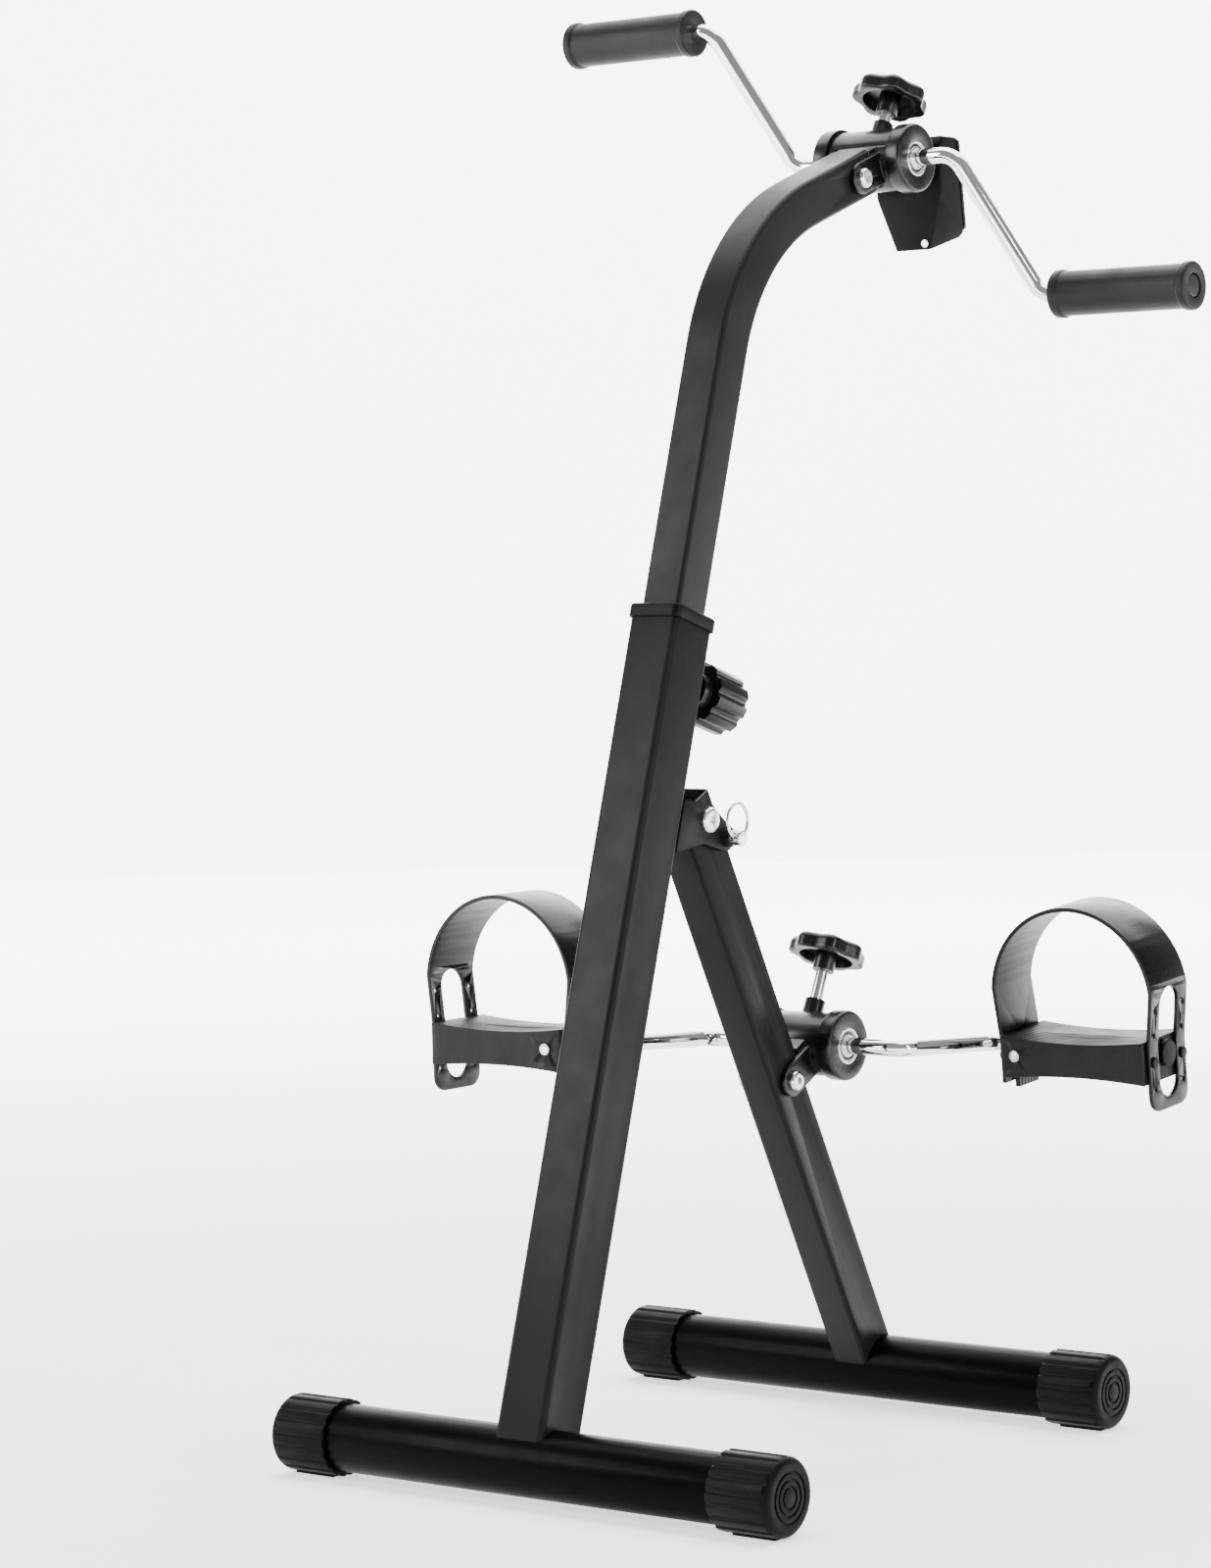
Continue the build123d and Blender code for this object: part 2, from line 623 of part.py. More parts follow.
def pedal_strap():
    """Moulded strap over the foot: one long slot and adjusting holes in its outer leg."""
    inner_x, outer_x = DECK_START - 0.3 - STRAP_THICK, DECK_END + 0.3 + STRAP_THICK
    middle = (inner_x + outer_x) / 2
    with BuildPart() as strap:
        with BuildSketch(Plane.XZ.offset(-STRAP_WIDE / 2)) as band:
            with BuildLine():
                Polyline((outer_x + 3.6, 38), (outer_x, 6), (outer_x, -60),
                         (inner_x, -60), (inner_x, 6), (inner_x - 3.6, 38))
                ThreePointArc((inner_x - 3.6, 38), (middle, 88.5), (outer_x + 3.6, 38))
            make_face()
            shoulders = band.vertices().filter_by(lambda corner: 0 < corner.Z < 50)
            fillet(shoulders, 50)
            offset(amount=-STRAP_THICK, mode=Mode.SUBTRACT)
            with Locations((middle, -53)):
                Rectangle(150, 40, mode=Mode.SUBTRACT)
            with Locations((inner_x, -40)):
                Rectangle(30, 40, mode=Mode.SUBTRACT)
        extrude(amount=STRAP_WIDE)
        corners = strap.edges().filter_by(Axis.X).group_by(Axis.Z)[0]
        fillet(corners, 9)
        with BuildSketch(Plane.YZ.offset(middle + 20)):
            with Locations((0, 7)):
                SlotOverall(66, 21, rotation=90)
        extrude(amount=60, mode=Mode.SUBTRACT)
        with BuildSketch(Plane.YZ.offset(middle + 20)):
            with Locations((-16.2, 28), (16.2, 28), (-16.2, 13), (16.2, 13), (-16.2, -19), (16.2, -19)):
                Circle(1.5)
        extrude(amount=60, mode=Mode.SUBTRACT)
        with BuildSketch(Plane.YZ.offset(DECK_START - 12)):
            with Locations((-16.5, -3), (16.5, -3)):
                Circle(1.6)
        extrude(amount=130, mode=Mode.SUBTRACT)
        with BuildSketch(Plane.YZ.offset(DECK_START - 12)):
            Circle(ROD_R + 1.5)
        extrude(amount=14, mode=Mode.SUBTRACT)
    return strap.part


def strap_rivets():
    """Four rivets that hold the strap to the two ends of the platform."""
    with BuildPart() as rivets:
        for y_place in (-16.5, 16.5):
            for face, side in ((DECK_START, -1), (DECK_END, 1)):
                with BuildSketch(Plane.YZ.offset(face - side * 3)):
                    with Locations((y_place, -3)):
                        Circle(1.55)
                extrude(amount=side * 6)
                with BuildSketch(Plane.YZ.offset(face + side * 3)):
                    with Locations((y_place, -3)):
                        Circle(3.2)
                extrude(amount=side * 1.2)
    return rivets.part


def deck_screw():
    """Grub screw in the front wall that keeps the spindle tube closed."""
    with BuildPart() as screw:
        with BuildSketch(Plane.XZ.offset(DECK_HALF - 2.4)):
            with Locations((DECK_START + 10, -2)):
                Circle(1.55)
        extrude(amount=2.4)
        with BuildSketch(Plane.XZ.offset(DECK_HALF)):
            with Locations((DECK_START + 10, -2)):
                Circle(3.4)
        extrude(amount=1.6)
    return screw.part


# ---------------------------------------------------------------- monitor behind the hand-crank hub
MONITOR_HALF = 24.0
MONITOR_SECTION = [(37, 11), (41, 16.5), (56.6, 16.5), (63.4, -41.5), (60.5, -45),
                   (42.3, -52.5), (37, -17)]
MONITOR_HOLLOW = [(39, 9.5), (42, 14.3), (58.4, 14.3), (64.9, -39.5), (59.8, -42.9),
                  (43.9, -49.6), (39, -17.2)]
MONITOR_CUT = (0.890, -0.311, -0.335)    # outward direction of the sloping lower corner
MONITOR_SCREW_PLANE = Plane(origin=(9.4, 41.7, -48.7), x_dir=(1, 0, 0), z_dir=(0, 0.989, 0.148))
MONITOR_FACE_TILT = degrees(atan2(6.8, 58))
MONITOR_FACE = Pos(0, 60, -12.5) * Rot(MONITOR_FACE_TILT, 0, 0)


def monitor_body(section, half, inset, rounding):
    """Box behind the display; its two lower corners slope in towards the bottom edge."""
    away_x, away_y, away_z = MONITOR_CUT
    with BuildPart() as body:
        with BuildSketch(Plane.YZ.offset(-half)):
            with BuildLine():
                Polyline(*section, close=True)
            make_face()
        extrude(amount=2 * half)
        fillet(body.edges().filter_by(Axis.X, reverse=True), rounding)
        for side in (-1, 1):
            slope = Plane(origin=(side * MONITOR_HALF, 37, -17), z_dir=(side * away_x, away_y, away_z))
            split(bisect_by=slope.offset(-inset), keep=Keep.BOTTOM)
    return body.part


def monitor_back():
    """Shell with an arm that seats on the hub."""
    with BuildPart() as shell:
        add(monitor_body(MONITOR_SECTION, MONITOR_HALF, 0, 2))
        with Locations((0, 29, 0)):
            Box(18, 18, 16)
        with Locations(Rot(0, 90, 0)):
            Cylinder(HUB_R + 0.02, 30, mode=Mode.SUBTRACT)
        add(monitor_body(MONITOR_HOLLOW, MONITOR_HALF - 2, 2, 0.5), mode=Mode.SUBTRACT)
        with BuildSketch(MONITOR_SCREW_PLANE.offset(-1)):
            Circle(1.25)
        extrude(amount=8, mode=Mode.SUBTRACT)
    return shell.part


def monitor_front():
    """Bezel plate with a window, in the display face's own frame."""
    with BuildPart() as bezel:
        with BuildSketch(Plane.XZ.offset(-0.3)):
            RectangleRounded(2 * MONITOR_HALF, 57, 3)
        extrude(amount=-3)
        fillet(bezel.faces().sort_by(Axis.Y)[-1].edges(), 1)
        with BuildSketch(Plane.XZ.offset(-0.3)):
            with Locations((0, 10)):
                RectangleRounded(31, 23, 1.5)
            with Locations((0, -16)):
                Circle(5.2)
        extrude(amount=-3, mode=Mode.SUBTRACT)
    return bezel.part


def monitor_lens():
    with BuildPart() as lens:
        with BuildSketch(Plane.XZ.offset(-0.8)):
            with Locations((0, 10)):
                RectangleRounded(30.8, 22.8, 1.4)
        extrude(amount=-1.6)
    return lens.part


def monitor_button():
    with BuildPart() as button:
        with BuildSketch(Plane.XZ.offset(-0.6)):
            with Locations((0, -16)):
                Circle(4.8)
        extrude(amount=-4)
        fillet(button.faces().sort_by(Axis.Y)[-1].edges(), 0.8)
    return button.part


def monitor_board():
    with BuildPart() as board:
        with BuildSketch(Plane.XZ.offset(3.6)):
            Rectangle(33, 46)
        extrude(amount=-1.4)
    return board.part


def monitor_battery():
    with BuildPart() as cell:
        with Locations(Pos(0, 50, -32) * Rot(0, 90, 0)):
            Cylinder(5.2, 30)
    return cell.part


def monitor_screw():
    """Screw into the sloping back of the monitor, head outside."""
    with BuildPart() as screw:
        with BuildSketch(MONITOR_SCREW_PLANE):
            Circle(1.2)
        extrude(amount=6)
        with BuildSketch(MONITOR_SCREW_PLANE):
            Circle(2.4)
        extrude(amount=-1.4)
    return screw.part


# ---------------------------------------------------------------- build and save everything
os.makedirs("parts", exist_ok=True)

FRONT_BAR = Pos(0, FRONT_BAR_Y, CAP_DROP)
REAR_BAR = Pos(0, REAR_BAR_Y, CAP_DROP)
save("front_foot_tube", FRONT_BAR * foot_tube())
save("rear_foot_tube", REAR_BAR * foot_tube())
save("front_foot_caps", FRONT_BAR * both_sides(foot_cap()))
save("rear_foot_caps", REAR_BAR * both_sides(foot_cap()))

save("mast_tube", MAST * mast_tube())
save("mast_collar", MAST * mast_collar())
save("inner_tube", MAST * inner_tube())
save("inner_tube_guide", MAST * tube_guide())
save("mast_lock_pad", MAST * lock_pad())
save("mast_lock_screw", MAST * lock_screw())
save("mast_lock_knob", MAST * lock_knob())

top_housing = hub_housing(TOP_BOLT_ANGLE, INNER_X, TUBE_END_GAP, 26)
low_housing = hub_housing(LOW_BOLT_ANGLE, LEG_X, LEG_SEAT, 27.5)
for place, word, housing in ((TOP_HUB, "hand", top_housing), (LOW_HUB, "pedal", low_housing)):
    save(f"{word}_hub_housing", place * housing)
    save(f"{word}_hub_end_caps", place * both_sides(hub_end_cap()))
    save(f"{word}_hub_bearings", place * both_sides(bearing()))
    save(f"{word}_crank_drum", place * drum())

for place, word, angle, gap in ((TOP_HUB, "hand", TOP_BOLT_ANGLE, INNER_X),
                                (LOW_HUB, "pedal", LOW_BOLT_ANGLE, LEG_X)):
    lug_face = gap / 2 + 3.65
    at_bolt = place * Pos(0, *away(angle, HUB_BOLT_REACH))
    save(f"{word}_hub_bolt", at_bolt * cross_bolt(3, 6, lug_face, -lug_face - 6))
    save(f"{word}_hub_nut", at_bolt * cross_nut(3, 5.6, -lug_face, 5))

for place, word, reach in ((TOP_HUB, "hand", TOP_KNOB_REACH), (LOW_HUB, "pedal", LOW_KNOB_REACH)):
    along = place * Rot(KNOB_ANGLE - 90, 0, 0)
    save(f"{word}_friction_plug", along * friction_plug())
    save(f"{word}_tension_screw", along * tension_screw(reach))
    save(f"{word}_tension_knob", along * star_knob(reach))

hand_rod = crank_rod(HAND_RADIUS, 58, 100, GRIP_END - 2.2, 14)
hand_button = end_cap(GRIP_END - 3.2, 2.6, 6.8, ROD_R + 0.02, 1.2, HAND_RADIUS)
pedal_rod = crank_rod(PEDAL_RADIUS, 70, 74, DECK_END + 2.4, 12)
HAND_CRANK = TOP_HUB * Rot(HAND_ANGLE, 0, 0)
HAND_LEFT = HAND_CRANK * Rot(180, 0, 0)
save("right_hand_rod", HAND_CRANK * hand_rod)
save("left_hand_rod", HAND_LEFT * left_side(hand_rod))
save("right_grip", HAND_CRANK * hand_grip())
save("left_grip", HAND_LEFT * left_side(hand_grip()))
save("grip_end_caps", HAND_CRANK * turned_pair(hand_button))

PEDAL_CRANK = LOW_HUB * Rot(PEDAL_ANGLE, 0, 0)
PEDAL_LEFT = PEDAL_CRANK * Rot(180, 0, 0)
spindle_collar = ring(87, 4.5, 8, ROD_R + 0.02, PEDAL_RADIUS)
spindle_cap = end_cap(DECK_END + 0.4, 3.6, 8, ROD_R + 0.02, 2.2, PEDAL_RADIUS)
save("spindle_collars", PEDAL_CRANK * turned_pair(spindle_collar))
save("spindle_end_caps", PEDAL_CRANK * turned_pair(spindle_cap))
for place, word in ((PEDAL_CRANK, "right"), (PEDAL_LEFT, "left")):
    mirrored = word == "left"
    save(f"{word}_pedal_rod", place * (left_side(pedal_rod) if mirrored else pedal_rod))
    spindle = (place * Pos(0, PEDAL_RADIUS, 0)).position
    at_spindle = Pos(0, spindle.Y, spindle.Z)
    tilt = Rot(0 if mirrored else RIGHT_PEDAL_TILT, 0, 0)
    for piece, shape in (("pedal_deck", pedal_deck()), ("pedal_strap", pedal_strap()),
                         ("strap_rivets", strap_rivets()), ("pedal_screw", deck_screw())):
        save(f"{word}_{piece}", at_spindle * tilt * (left_side(shape) if mirrored else shape))

save("leg_bracket", MAST * leg_bracket())
save("rear_leg", LEG * rear_leg())
save("leg_plug", LEG * leg_plug())
AT_PIN = LEG * Pos(0, PIN_BACK, -PIN_DOWN) * Rot(-LEG_LEAN, 0, 0)
save("pivot_bolt", LEG * cross_bolt(3.95, 7.5, CHEEK_OUT, -CHEEK_OUT - 8))
save("pivot_nut", LEG * cross_nut(3.95, 7, -CHEEK_OUT, 6.5))
save("lock_pin", AT_PIN * lock_pin())
save("pull_ring", AT_PIN * pull_ring())

save("monitor_back", TOP_HUB * monitor_back())
for piece, shape in (("monitor_front", monitor_front()), ("monitor_lens", monitor_lens()),
                     ("monitor_button", monitor_button()), ("monitor_board", monitor_board())):
    save(piece, TOP_HUB * MONITOR_FACE * shape)
save("monitor_battery", TOP_HUB * monitor_battery())
save("monitor_screw", TOP_HUB * monitor_screw())
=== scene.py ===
"""Looks of the upright pedal exerciser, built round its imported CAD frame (metres, +Z up)."""

import json
import math

import bpy
from mathutils import Matrix, Vector

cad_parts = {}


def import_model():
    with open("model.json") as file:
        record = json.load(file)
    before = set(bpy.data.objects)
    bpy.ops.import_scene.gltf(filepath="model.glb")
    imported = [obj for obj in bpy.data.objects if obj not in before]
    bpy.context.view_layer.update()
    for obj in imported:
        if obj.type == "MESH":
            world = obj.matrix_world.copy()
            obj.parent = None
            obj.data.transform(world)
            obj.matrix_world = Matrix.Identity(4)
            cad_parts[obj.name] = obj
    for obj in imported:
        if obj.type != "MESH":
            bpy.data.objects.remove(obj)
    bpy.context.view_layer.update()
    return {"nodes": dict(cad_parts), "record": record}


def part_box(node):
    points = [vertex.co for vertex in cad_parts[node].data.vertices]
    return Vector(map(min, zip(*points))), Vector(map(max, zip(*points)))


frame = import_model()


# ---------------------------------------------------------------- material helpers
def new_material(name):
    """Return a material's node tree, its Principled shader and a coordinate source."""
    material = bpy.data.materials.new(name)
    material.use_nodes = True
    tree = material.node_tree
    shader = tree.nodes["Principled BSDF"]
    coords = tree.nodes.new("ShaderNodeTexCoord")
    return material, tree, shader, coords


def noise(tree, coords, scale, detail=4.0, roughness=0.55):
    """Noise in object space."""
    texture = tree.nodes.new("ShaderNodeTexNoise")
    texture.inputs["Scale"].default_value = scale
    texture.inputs["Detail"].default_value = detail
    texture.inputs["Roughness"].default_value = roughness
    tree.links.new(coords.outputs["Object"], texture.inputs["Vector"])
    return texture.outputs["Fac"]


def ramp(tree, value, low, high):
    """Spread the middle of a noise's range between two colours."""
    node = tree.nodes.new("ShaderNodeValToRGB")
    for stop, place, colour in zip(node.color_ramp.elements, (0.35, 0.65), (low, high)):
        stop.position = place
        stop.color = (*colour, 1.0)
    tree.links.new(value, node.inputs["Fac"])
    return node.outputs["Color"]


def spread(tree, value, low, high):
    """Map the middle of a noise's range to the span from low to high."""
    node = tree.nodes.new("ShaderNodeMapRange")
    node.inputs["From Min"].default_value = 0.3
    node.inputs["From Max"].default_value = 0.7
    node.inputs["To Min"].default_value = low
    node.inputs["To Max"].default_value = high
    tree.links.new(value, node.inputs["Value"])
    return node.outputs["Result"]


def bump(tree, shader, layers):
    """Chain bump layers of (height, strength, distance) into the shader's normal."""
    last = None
    for height, strength, distance in layers:
        node = tree.nodes.new("ShaderNodeBump")
        node.inputs["Strength"].default_value = strength
        node.inputs["Distance"].default_value = distance
        tree.links.new(height, node.inputs["Height"])
        if last:
            tree.links.new(last, node.inputs["Normal"])
        last = node.outputs["Normal"]
    tree.links.new(last, shader.inputs["Normal"])


def coating(name, dark, light, rough, grain, peel, specular=0.5, metallic=0.0):
    """Opaque finish with slow colour drift, fine grain and an uneven sheen."""
    material, tree, shader, coords = new_material(name)
    drift = noise(tree, coords, 9.0, 5.0)
    tree.links.new(ramp(tree, drift, dark, light), shader.inputs["Base Color"])
    tree.links.new(spread(tree, noise(tree, coords, 60.0, 6.0), *rough), shader.inputs["Roughness"])
    shader.inputs["Metallic"].default_value = metallic
    shader.inputs["Specular IOR Level"].default_value = specular
    fine = noise(tree, coords, grain[0], 2.0)
    slow = noise(tree, coords, peel[0], 3.0)
    bump(tree, shader, [(slow, peel[1], 0.0004), (fine, grain[1], 0.0001)])
    return material


def add_ribs(material, axis, pitch, depth):
    """Fine moulded ribs across one object axis, added over the material's own grain."""
    tree = material.node_tree
    shader = tree.nodes["Principled BSDF"]
    before = shader.inputs["Normal"].links[0].from_socket
    coords = tree.nodes.new("ShaderNodeTexCoord")
    wave = tree.nodes.new("ShaderNodeTexWave")
    wave.bands_direction = axis
    wave.wave_profile = "SIN"
    wave.inputs["Scale"].default_value = math.pi / (10 * pitch)
    tree.links.new(coords.outputs["Object"], wave.inputs["Vector"])
    node = tree.nodes.new("ShaderNodeBump")
    node.inputs["Strength"].default_value = 1.0
    node.inputs["Distance"].default_value = depth
    tree.links.new(wave.outputs["Fac"], node.inputs["Height"])
    tree.links.new(before, node.inputs["Normal"])
    tree.links.new(node.outputs["Normal"], shader.inputs["Normal"])


def maths(tree, operation, first, second=None):
    """One arithmetic node; second is a number, another output, or nothing."""
    node = tree.nodes.new("ShaderNodeMath")
    node.operation = operation
    tree.links.new(first, node.inputs[0])
    if isinstance(second, float):
        node.inputs[1].default_value = second
    elif second is not None:
        tree.links.new(second, node.inputs[1])
    return node.outputs["Value"]


def distance_from_axis(tree, coords, middle):
    """Distance of a point from the line along X through middle."""
    split = tree.nodes.new("ShaderNodeSeparateXYZ")
    tree.links.new(coords.outputs["Object"], split.inputs["Vector"])
    across = maths(tree, "SUBTRACT", split.outputs["Y"], middle.y)
    above = maths(tree, "SUBTRACT", split.outputs["Z"], middle.z)
    squares = [maths(tree, "MULTIPLY", side, side) for side in (across, above)]
    return maths(tree, "SQRT", maths(tree, "ADD", *squares))


def banded(name, node, bands):
    """Turned part seen end on: bright and dark rings, each band given by its inner radius."""
    low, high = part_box(node)
    material, tree, shader, coords = new_material(name)
    radius = distance_from_axis(tree, coords, (low + high) / 2)
    mask = tree.nodes.new("ShaderNodeValToRGB")
    mask.color_ramp.interpolation = "CONSTANT"
    steps = mask.color_ramp.elements
    while len(steps) < len(bands):
        steps.new(0.5)
    for step, (start, bright) in zip(steps, bands):
        step.position = start / RING_REACH
        step.color = (bright, bright, bright, 1)
    tree.links.new(maths(tree, "MULTIPLY", radius, 1 / RING_REACH), mask.inputs["Fac"])
    grain = noise(tree, coords, 900, 3.0)
    metal = ramp(tree, grain, (0.66, 0.66, 0.67), (0.76, 0.76, 0.77))
    blend = tree.nodes.new("ShaderNodeMix")
    blend.data_type = "RGBA"
    dark, bright = blend.inputs[6], blend.inputs[7]
    dark.default_value = (*SEAL_BLACK, 1)
    tree.links.new(mask.outputs["Color"], blend.inputs[0])
    tree.links.new(metal, bright)
    tree.links.new(blend.outputs[2], shader.inputs["Base Color"])
    tree.links.new(mask.outputs["Color"], shader.inputs["Metallic"])
    tree.links.new(spread(tree, grain, 0.18, 0.32), shader.inputs["Roughness"])
    bump(tree, shader, [(grain, 0.15, 0.0001)])
    return material


RING_REACH = 0.02                     # radius that the ramp of a banded material spans
SEAL_BLACK = (0.012, 0.012, 0.013)

LOOKS = {
    "black_powder_coat": coating("powder_coat", (0.0120, 0.0120, 0.0123), (0.0152, 0.0152, 0.0156),
                                 (0.34, 0.44), (1500, 0.22), (340, 0.08), specular=0.08),
    "black_plastic": coating("matt_plastic", (0.0022, 0.0022, 0.0024), (0.0034, 0.0034, 0.0037),
                             (0.40, 0.54), (2200, 0.30), (260, 0.08), specular=0.07),
    "gloss_black_plastic": coating("moulded_plastic", (0.0024, 0.0024, 0.0026), (0.0036, 0.0036, 0.0039),
                                   (0.24, 0.36), (1800, 0.10), (180, 0.06), specular=0.3),
    "strap_plastic": coating("strap_plastic", (0.0024, 0.0024, 0.0028), (0.0038, 0.0038, 0.0044),
                             (0.24, 0.32), (900, 0.12), (150, 0.10), specular=0.2),
    "chrome": coating("chrome", (0.72, 0.72, 0.73), (0.80, 0.80, 0.81),
                      (0.03, 0.09), (700, 0.03), (60, 0.02), metallic=1.0),
    "zinc_steel": coating("zinc_steel", (0.55, 0.56, 0.58), (0.70, 0.71, 0.72),
                          (0.16, 0.30), (1200, 0.15), (200, 0.08), metallic=1.0),
    "bearing_steel": coating("bearing_steel", (0.62, 0.62, 0.63), (0.74, 0.74, 0.75),
                             (0.14, 0.26), (1600, 0.10), (160, 0.05), metallic=1.0),
    "grip_rubber": coating("grip_rubber", (0.0026, 0.0026, 0.0026), (0.0042, 0.0042, 0.0042),
                           (0.42, 0.56), (1400, 0.50), (300, 0.15), specular=0.2),
    "nylon": coating("nylon", (0.62, 0.60, 0.55), (0.72, 0.70, 0.66), (0.45, 0.60), (900, 0.2), (120, 0.1)),
    "display_window": coating("display_window", (0.20, 0.23, 0.19), (0.25, 0.28, 0.23),
                              (0.05, 0.12), (500, 0.02), (90, 0.02)),
    "button_plastic": coating("button_plastic", (0.34, 0.025, 0.02), (0.44, 0.04, 0.03),
                              (0.28, 0.40), (1400, 0.12), (160, 0.06)),
    "circuit_board": coating("circuit_board", (0.01, 0.09, 0.03), (0.02, 0.14, 0.05),
                             (0.25, 0.45), (900, 0.2), (120, 0.1)),
}
# Foot bars: a copy of the powder coat about ten times darker, with a weaker sheen; the darker colour is
# painted shade
SHADED_FOOT_COAT = coating("foot_tube_coat_painted_shade", (0.0010, 0.0010, 0.0011), (0.0018, 0.0018, 0.0020),
                    (0.30, 0.40), (1500, 0.25), (340, 0.10), specular=0.03)
DECK_RIB_PITCH, DECK_RIB_DEPTH = 0.0035, 0.0003
DECK = coating("deck_plastic", (0.0016, 0.0016, 0.0018), (0.0028, 0.0028, 0.0031),
               (0.44, 0.58), (1600, 0.45), (260, 0.10), specular=0.2)
add_ribs(DECK, "Y", DECK_RIB_PITCH, DECK_RIB_DEPTH)
BEARING_BANDS = ((0, 1.0), (0.0068, 0.0), (0.0088, 1.0), (0.0110, 0.0))  # inner ring, seal, outer ring
SPECIAL = {
    "front_foot_tube": SHADED_FOOT_COAT,
    "rear_foot_tube": SHADED_FOOT_COAT,
    "right_pedal_deck": DECK,
    "left_pedal_deck": DECK,
    "hand_hub_bearings": banded("hand_bearing", "hand_hub_bearings", BEARING_BANDS),
    "pedal_hub_bearings": banded("pedal_bearing", "pedal_hub_bearings", BEARING_BANDS),
}


# ---------------------------------------------------------------- finish of the CAD pieces
def soften(node, width):
    """Round a piece's hard edges a little and shade its curved faces smoothly."""
    mesh = node.data
    weld = node.modifiers.new("weld", "WELD")
    weld.merge_threshold = WELD_REACH
    bevel = node.modifiers.new("edge", "BEVEL")
    bevel.width = width
    bevel.segments = 3
    bevel.limit_method = "ANGLE"
    bevel.angle_limit = SHARP
    bevel.use_clamp_overlap = True
    bevel.harden_normals = True
    mesh.polygons.foreach_set("use_smooth", [True] * len(mesh.polygons))


WELD_REACH = 0.000002                 # joins the mesh's doubled points and nothing else
SHARP = math.radians(35)              # edges that turn by more than this are rounded
FINE_EDGE = 0.0001
EDGES = {
    "black_powder_coat": 0.0006,
    "black_plastic": 0.0004,
    "gloss_black_plastic": 0.0005,
    "strap_plastic": 0.0004,
    "zinc_steel": 0.0003,
    "grip_rubber": 0.0004,
}
for entry in frame["record"]["subparts"]:
    node = frame["nodes"][entry["node"]]
    look = SPECIAL.get(entry["node"], LOOKS[entry["material_slot"]])
    node.data.materials.clear()
    node.data.materials.append(look)
    soften(node, EDGES.get(entry["material_slot"], FINE_EDGE))


# ---------------------------------------------------------------- studio
WALL_GLOW = 6.0
FLOOR_GLOW = 1.2                      # near the object; it rises to the wall's towards their join
FLOOR_HALF = 30.0
GLOW_START, GLOW_END = 0.45, 3.6      # distances from the origin between which the floor brightens
WALL_FOOT = Vector((-2.9, 3.7, 0))    # middle of the wall's foot, straight behind the object
WALL_ALONG = Vector((0.79, 0.61, 0))
WALL_HALF, WALL_HEIGHT = 3.0, 4.0
SURROUND_RADIUS, SURROUND_HEIGHT, SURROUND_SIDES = 9.0, 9.0, 64
WORLD_STRENGTH = 0.4
LIGHTS = (                            # name, place, aim, size and power
    ("overhead", (-0.5, 1.6, 3.4), (-0.5, 1.2, 0), (4.5, 4.5), 420),
    ("front_left", (-2.2, -2.5, 1.7), (0, 0, 0.45), (1.3, 1.8), 118),
    ("right_strip", (2.9, -0.3, 1.0), (0, 0, 0.4), (0.16, 2.4), 48),
)
CAMERA_PLACE = (1.5002, -2.0789, 0.5273)
CAMERA_AZIMUTH, CAMERA_ELEVATION, CAMERA_ROLL = 37.498, 3.075, -1.427
CAMERA_LENS = 100.3
SENSOR_WIDTH = 36.0


def ground():
    """Plain pale floor; glossy finishes mirror it, but it throws no light up."""
    mesh = bpy.data.meshes.new("studio_floor")
    corners = [(x * FLOOR_HALF, y * FLOOR_HALF, 0) for x, y in ((-1, -1), (1, -1), (1, 1), (-1, 1))]
    mesh.from_pydata(corners, [], [(0, 1, 2, 3)])
    floor = bpy.data.objects.new("studio_floor", mesh)
    bpy.context.collection.objects.link(floor)
    material, tree, shader, coords = new_material("studio_floor")
    tree.links.new(ramp(tree, noise(tree, coords, 3.0), (0.90, 0.90, 0.90), (0.92, 0.92, 0.92)),
                   shader.inputs["Base Color"])
    shader.inputs["Roughness"].default_value = 0.9
    shader.inputs["Specular IOR Level"].default_value = 0.2
    shader.inputs["Emission Color"].default_value = (1.0, 1.0, 1.0, 1.0)
    distance = tree.nodes.new("ShaderNodeVectorMath")
    distance.operation = "LENGTH"
    tree.links.new(coords.outputs["Object"], distance.inputs[0])
    glow = tree.nodes.new("ShaderNodeMapRange")
    glow.interpolation_type = "SMOOTHSTEP"
    glow.inputs["From Min"].default_value = GLOW_START
    glow.inputs["From Max"].default_value = GLOW_END
    glow.inputs["To Min"].default_value = FLOOR_GLOW
    glow.inputs["To Max"].default_value = WALL_GLOW
    tree.links.new(distance.outputs["Value"], glow.inputs["Value"])
    tree.links.new(glow.outputs["Result"], shader.inputs["Emission Strength"])
    mesh.materials.append(material)
    floor.visible_diffuse = False


def area_light(name, place, aim, size, power):
    """Rectangular soft light at place, turned towards aim; size in metres, power in watts."""
    data = bpy.data.lights.new(name, "AREA")
    data.shape = "RECTANGLE"
    data.size, data.size_y = size
    data.energy = power
    lamp = bpy.data.objects.new(name, data)
    lamp.location = place
    lamp.rotation_euler = (Vector(aim) - Vector(place)).to_track_quat("-Z", "Y").to_euler()
    bpy.context.collection.objects.link(lamp)


def world(strength):
    """Even pale surroundings."""
    sky = bpy.data.worlds.new("studio")
    sky.use_nodes = True
    background = sky.node_tree.nodes["Background"]
    background.inputs["Color"].default_value = (1.0, 1.0, 1.0, 1.0)
    background.inputs["Strength"].default_value = strength
    bpy.context.scene.world = sky


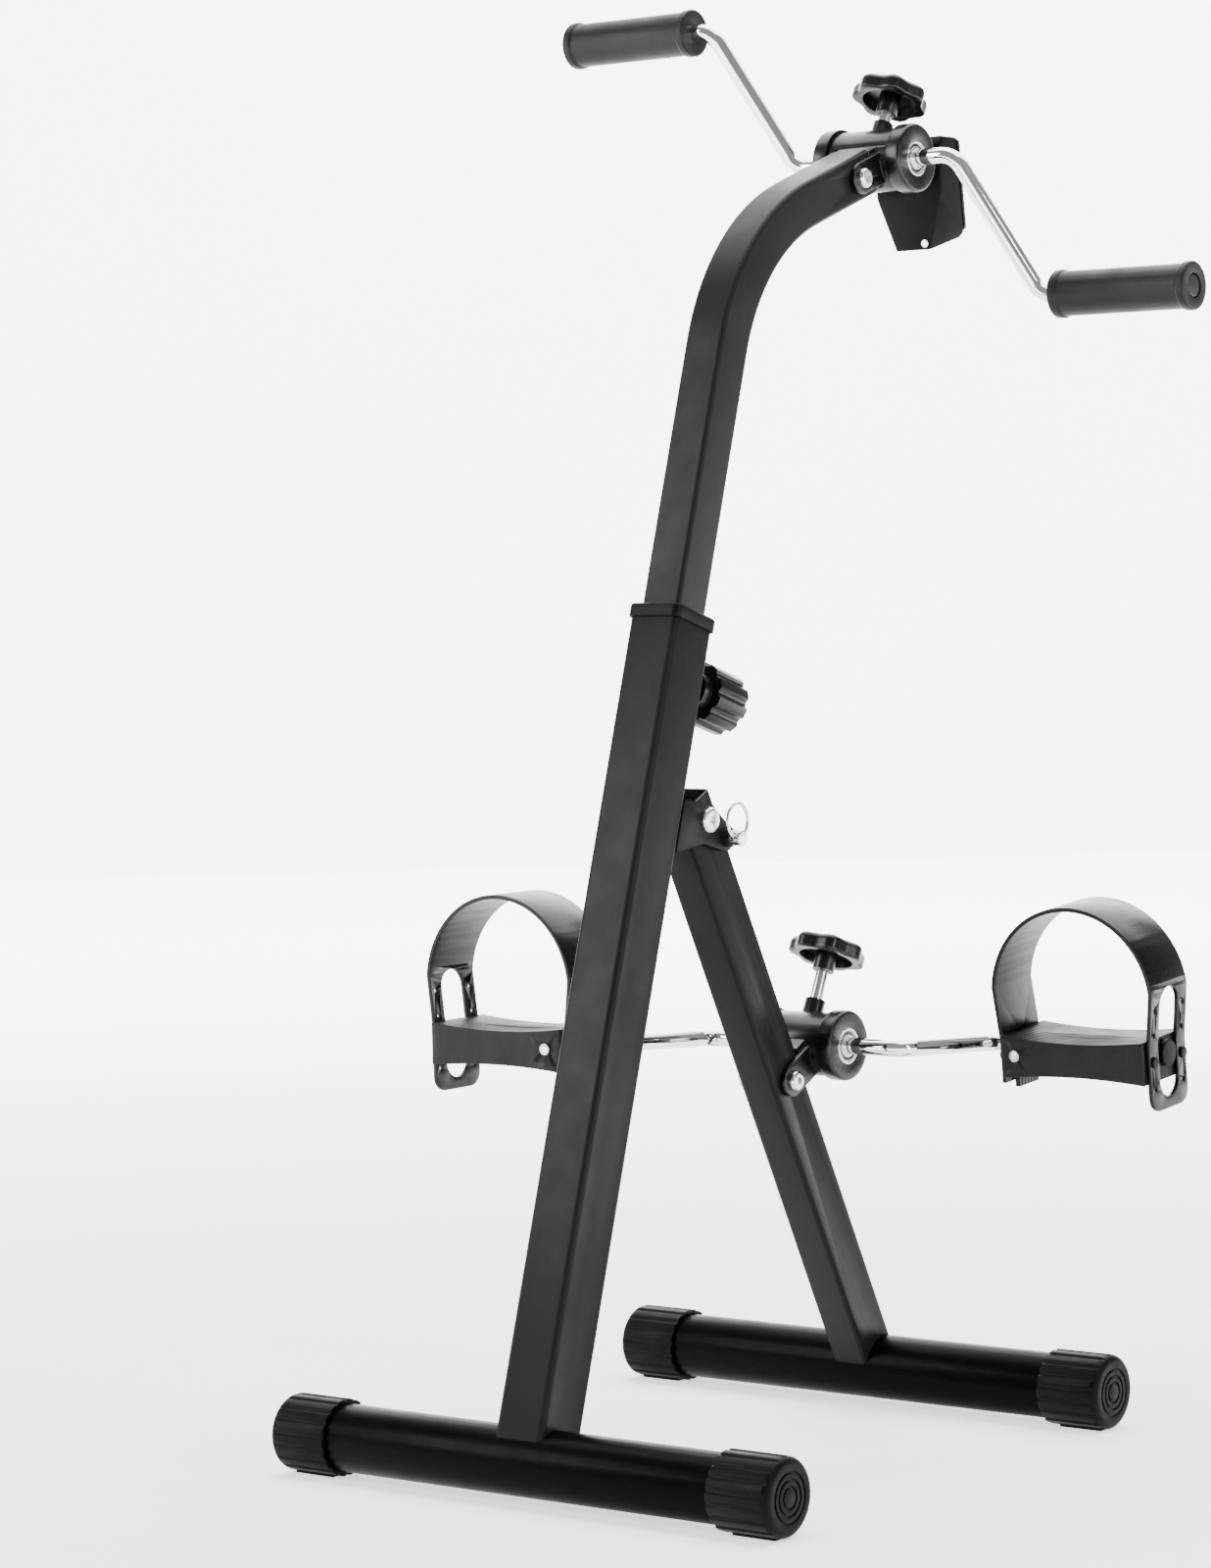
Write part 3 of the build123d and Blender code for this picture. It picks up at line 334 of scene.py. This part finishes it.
def backdrop():
    """Bright wall far behind the object; bright metal mirrors it, but it sheds no light."""
    mesh = bpy.data.meshes.new("studio_wall")
    left = WALL_FOOT - WALL_ALONG * WALL_HALF
    right = WALL_FOOT + WALL_ALONG * WALL_HALF
    rise = Vector((0, 0, WALL_HEIGHT))
    corners = [left, right, right + rise, left + rise]
    mesh.from_pydata(corners, [], [(0, 1, 2, 3)])
    wall = bpy.data.objects.new("studio_wall", mesh)
    bpy.context.collection.objects.link(wall)
    material, tree, shader, coords = new_material("studio_wall")
    tree.links.new(ramp(tree, noise(tree, coords, 1.0), (0.95, 0.95, 0.95), (0.97, 0.97, 0.97)),
                   shader.inputs["Emission Color"])
    shader.inputs["Emission Strength"].default_value = WALL_GLOW
    shader.inputs["Roughness"].default_value = 0.9
    mesh.materials.append(material)
    wall.visible_diffuse = False


def surround():
    """Bright ring round the studio that only the camera sees: a plain background on every side."""
    sides = SURROUND_SIDES
    turns = [2 * math.pi * step / sides for step in range(sides)]
    rim = [(SURROUND_RADIUS * math.cos(turn), SURROUND_RADIUS * math.sin(turn)) for turn in turns]
    corners = [(x, y, 0.0) for x, y in rim] + [(x, y, SURROUND_HEIGHT) for x, y in rim]
    faces = [(k, (k + 1) % sides, sides + (k + 1) % sides, sides + k) for k in range(sides)]
    mesh = bpy.data.meshes.new("studio_surround")
    mesh.from_pydata(corners, [], faces)
    ring = bpy.data.objects.new("studio_surround", mesh)
    bpy.context.collection.objects.link(ring)
    ring.visible_diffuse = False
    ring.visible_glossy = False
    ring.visible_transmission = False
    ring.visible_shadow = False
    mesh.materials.append(bpy.data.materials["studio_wall"])


def camera_at(place, azimuth, elevation, roll, lens):
    """Camera looking back along the given azimuth and elevation, turned by roll (degrees)."""
    a, e, r = (math.radians(v) for v in (azimuth, elevation, roll))
    back = Vector((math.sin(a) * math.cos(e), -math.cos(a) * math.cos(e), math.sin(e)))
    right = (-back).cross(Vector((0, 0, 1))).normalized()
    up = right.cross(-back)
    turned = right * math.cos(r) + up * math.sin(r)
    upright = up * math.cos(r) - right * math.sin(r)
    data = bpy.data.cameras.new("camera")
    data.sensor_width = SENSOR_WIDTH
    data.lens = lens
    data.clip_start = 0.05
    data.clip_end = 100.0
    camera = bpy.data.objects.new("camera", data)
    rotation = Matrix((turned, upright, back)).transposed()
    camera.matrix_world = Matrix.Translation(place) @ rotation.to_4x4()
    bpy.context.collection.objects.link(camera)
    bpy.context.scene.camera = camera


ground()
backdrop()
surround()
world(WORLD_STRENGTH)
for light in LIGHTS:
    area_light(*light)
camera_at(CAMERA_PLACE, CAMERA_AZIMUTH, CAMERA_ELEVATION, CAMERA_ROLL, CAMERA_LENS)
